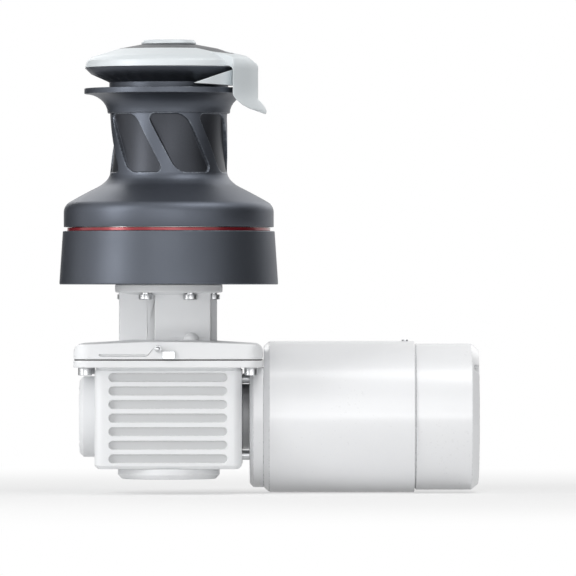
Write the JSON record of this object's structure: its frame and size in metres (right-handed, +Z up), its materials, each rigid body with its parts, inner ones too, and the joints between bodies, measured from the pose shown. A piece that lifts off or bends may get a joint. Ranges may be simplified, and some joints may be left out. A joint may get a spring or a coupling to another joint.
{
  "type": "electric self-tailing winch",
  "caption": "Deck winch with a flared drum, sprung self-tailing jaws, a stripper arm and handle socket, driven from below by a worm gearbox and motor.",
  "frame": {"origin": "winch axis at the deck plane, the underside of the base", "axes": "+Z up along the winch axis, +X along the motor, -Y towards the side that the picture shows"},
  "size_m": [0.378, 0.2306, 0.4079],
  "materials": {
    "deck_grey": "hard anodised dark blue-grey, satin",
    "trim_red": "red, gloss",
    "arm_silver": "polished casting, satin",
    "cover_black": "moulded, matte",
    "cast_pale": "pale anodised casting",
    "motor_pale": "pale paint, semi-gloss",
    "screw_steel": "stainless, turned",
    "gear_steel": "machined and oiled",
    "bronze": "cast and turned bronze",
    "copper": "enamelled copper",
    "seal_rubber": "black nitrile",
    "magnet_black": "sintered ferrite",
    "carbon": "pressed carbon",
    "insulator": "moulded insulator"
  },
  "bodies": {
    "root": {"base_housing": "deck_grey", "red_trim_ring": "trim_red", "center_stem": "bronze", "stem_screws": "screw_steel", "spindle_bushes": "bronze", "bearing_spacer": "gear_steel", "stripper_arm": "arm_silver", "line_peeler": "arm_silver", "arm_cover": "cover_black", "arm_screws": "screw_steel", "idler_pin": "gear_steel", "pedestal": "cast_pale", "neck_bolts": "screw_steel", "grease_fitting": "screw_steel", "shaft_seal": "seal_rubber", "gearbox_housing": "cast_pale", "gearbox_gasket": "seal_rubber", "gearbox_bolts": "screw_steel", "worm_end_cover": "cast_pale", "end_cover_screws": "screw_steel", "bottom_cap": "cast_pale", "shaft_bearings": "gear_steel", "worm_bearings": "gear_steel", "motor_flange": "motor_pale", "flange_screws": "screw_steel", "motor_front_bell": "motor_pale", "motor_can": "motor_pale", "motor_magnets": "magnet_black", "motor_rear_bell": "motor_pale", "brush_holder": "insulator", "brushes": "carbon", "motor_terminals": "insulator", "through_bolts": "screw_steel", "motor_bearings": "gear_steel", "vent_plug": "screw_steel"},
    "drum": {"drum_shell": "deck_grey", "drum_ring_gear": "gear_steel", "ring_gear_screws": "screw_steel", "upper_jaw": "deck_grey", "jaw_screws": "screw_steel", "jaw_springs": "gear_steel"},
    "lower_jaw": {"lower_jaw": "deck_grey"},
    "lower_cage": {"lower_roller_bearing": "gear_steel"},
    "upper_cage": {"upper_roller_bearing": "gear_steel"},
    "spindle": {"spindle": "gear_steel", "drive_pinion": "gear_steel", "spindle_cap": "arm_silver", "one_way_clutch": "bronze"},
    "idler": {"idler_gear": "gear_steel", "idler_pinion": "gear_steel"},
    "pawl_1": {"pawl_1": "bronze"},
    "pawl_2": {"pawl_2": "bronze"},
    "armature": {"worm_shaft": "gear_steel", "armature_core": "gear_steel", "armature_windings": "copper", "commutator": "copper"},
    "output": {"output_shaft": "gear_steel", "worm_wheel": "bronze"}
  },
  "joints": [
    {"name": "drum_spin", "type": "hinge", "parent": "root", "child": "drum", "pos_m": [0, 0, 0], "axis": [0, 0, 1], "continuous": true},
    {"name": "spindle_spin", "type": "hinge", "parent": "root", "child": "spindle", "pos_m": [0, 0, 0], "axis": [0, 0, 1], "continuous": true},
    {"name": "idler_spin", "type": "hinge", "parent": "root", "child": "idler", "pos_m": [0, 0.054, 0], "axis": [0, 0, 1], "continuous": true},
    {"name": "lower_cage_spin", "type": "hinge", "parent": "root", "child": "lower_cage", "pos_m": [0, 0, 0], "axis": [0, 0, 1], "continuous": true},
    {"name": "upper_cage_spin", "type": "hinge", "parent": "root", "child": "upper_cage", "pos_m": [0, 0, 0], "axis": [0, 0, 1], "continuous": true},
    {"name": "lower_jaw_slide", "type": "slide", "parent": "drum", "child": "lower_jaw", "axis": [0, 0, 1], "range_m": [-0.003, 0], "stiffness_N_per_m": 4000, "springref_m": 0.004, "deforming": ["jaw_springs"]},
    {"name": "pawl_1_swing", "type": "hinge", "parent": "idler", "child": "pawl_1", "pos_m": [0.0135, 0.054, 0], "axis": [0, 0, 1], "range_deg": [0, 12], "stiffness_Nm_per_rad": 0.002, "springref_deg": -8.59},
    {"name": "pawl_2_swing", "type": "hinge", "parent": "idler", "child": "pawl_2", "pos_m": [-0.0135, 0.054, 0], "axis": [0, 0, 1], "range_deg": [0, 12], "stiffness_Nm_per_rad": 0.002, "springref_deg": -8.59},
    {"name": "armature_spin", "type": "hinge", "parent": "root", "child": "armature", "pos_m": [0, 0.044, -0.1195], "axis": [1, 0, 0], "continuous": true},
    {"name": "output_spin", "type": "hinge", "parent": "root", "child": "output", "pos_m": [0, 0, 0], "axis": [0, 0, 1], "continuous": true}
  ],
  "couplings": [
    {"joint": "spindle_spin", "follows": "drum_spin", "ratio": -4.0625},
    {"joint": "idler_spin", "follows": "drum_spin", "ratio": 3.25},
    {"joint": "lower_cage_spin", "follows": "drum_spin", "ratio": 0.5624},
    {"joint": "upper_cage_spin", "follows": "drum_spin", "ratio": 0.5624},
    {"joint": "output_spin", "follows": "armature_spin", "ratio": 0.03125}
  ]
}
